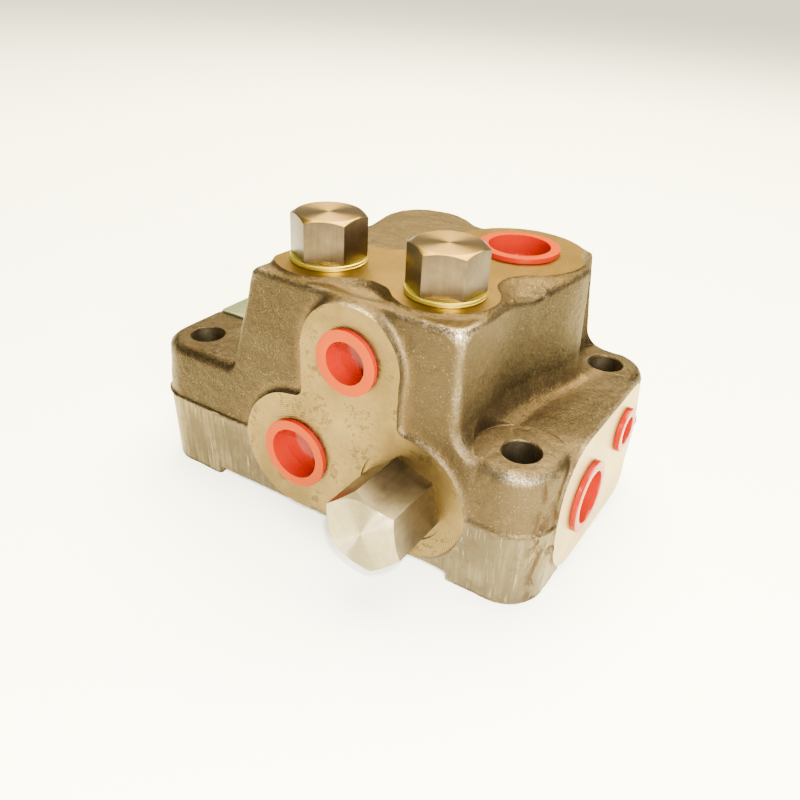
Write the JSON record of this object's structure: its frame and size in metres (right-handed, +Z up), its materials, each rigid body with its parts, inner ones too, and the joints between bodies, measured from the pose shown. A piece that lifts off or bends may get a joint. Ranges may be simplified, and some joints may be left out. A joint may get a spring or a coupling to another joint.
{
  "type": "hydraulic monoblock valve",
  "caption": "Cast-iron monoblock hydraulic valve on a bolt-down flange, with hexagon cavity plugs, capped ports, and a sprung spool and poppets inside.",
  "frame": {"origin": "centre of the four mounting holes, on the plane of the four feet", "axes": "+X along the front face towards the end with the two side ports, +Y from the front face towards the back, +Z up out of the flange"},
  "size_m": [0.1857, 0.1446, 0.1207],
  "materials": {
    "cast_iron": "oiled sand-cast skin with milled faces",
    "turned_steel": "turned and milled, oiled",
    "yellow_zinc": "yellow zinc plate",
    "red_plastic": "translucent red polyethylene",
    "black_rubber": "nitrile rubber",
    "plate_aluminium": "anodised, blank",
    "spring_steel": "drawn wire"
  },
  "bodies": {
    "casting": {"valve_body": "cast_iron", "top_plug_left": "turned_steel", "top_plug_right": "turned_steel", "seal_washer_left": "yellow_zinc", "seal_washer_right": "yellow_zinc", "washer_rubber_left": "black_rubber", "washer_rubber_right": "black_rubber", "poppet_seat_left": "turned_steel", "poppet_seat_right": "turned_steel", "spool_plug_front": "turned_steel", "spool_plug_rear": "turned_steel", "plug_o_ring_front": "black_rubber", "plug_o_ring_rear": "black_rubber", "gallery_plug": "turned_steel", "nameplate": "plate_aluminium", "plate_drive_screws": "turned_steel", "poppet_spring_left": "spring_steel", "poppet_spring_right": "spring_steel", "spool_spring_front": "spring_steel", "spool_spring_rear": "spring_steel"},
    "spool_body": {"spool": "turned_steel"},
    "poppet_left_body": {"poppet_left": "turned_steel"},
    "poppet_right_body": {"poppet_right": "turned_steel"},
    "cap_top": {"port_cap_top": "red_plastic"},
    "cap_front_lower": {"port_cap_front_lower": "red_plastic"},
    "cap_front_upper": {"port_cap_front_upper": "red_plastic"},
    "cap_side_large": {"port_cap_side_large": "red_plastic"},
    "cap_side_small": {"port_cap_side_small": "red_plastic"}
  },
  "joints": [
    {"name": "spool_shift", "type": "slide", "parent": "casting", "child": "spool_body", "axis": [0, 1, 0], "range_m": [-0.006, 0.006], "stiffness_N_per_m": 3000, "deforming": ["spool_spring_front", "spool_spring_rear"]},
    {"name": "poppet_lift_left", "type": "slide", "parent": "casting", "child": "poppet_left_body", "axis": [0, 0, 1], "range_m": [0, 0.005], "stiffness_N_per_m": 1500, "springref_m": -0.004, "deforming": ["poppet_spring_left"]},
    {"name": "poppet_lift_right", "type": "slide", "parent": "casting", "child": "poppet_right_body", "axis": [0, 0, 1], "range_m": [0, 0.005], "stiffness_N_per_m": 1500, "springref_m": -0.004, "deforming": ["poppet_spring_right"]},
    {"name": "cap_pull_top", "type": "slide", "parent": "casting", "child": "cap_top", "axis": [0, 0, 1], "range_m": [0, 0.045]},
    {"name": "cap_pull_front_lower", "type": "slide", "parent": "casting", "child": "cap_front_lower", "axis": [0, -1, 0], "range_m": [0, 0.045]},
    {"name": "cap_pull_front_upper", "type": "slide", "parent": "casting", "child": "cap_front_upper", "axis": [0, -1, 0], "range_m": [0, 0.045]},
    {"name": "cap_pull_side_large", "type": "slide", "parent": "casting", "child": "cap_side_large", "axis": [1, 0, 0], "range_m": [0, 0.045]},
    {"name": "cap_pull_side_small", "type": "slide", "parent": "casting", "child": "cap_side_small", "axis": [1, 0, 0], "range_m": [0, 0.045]}
  ]
}
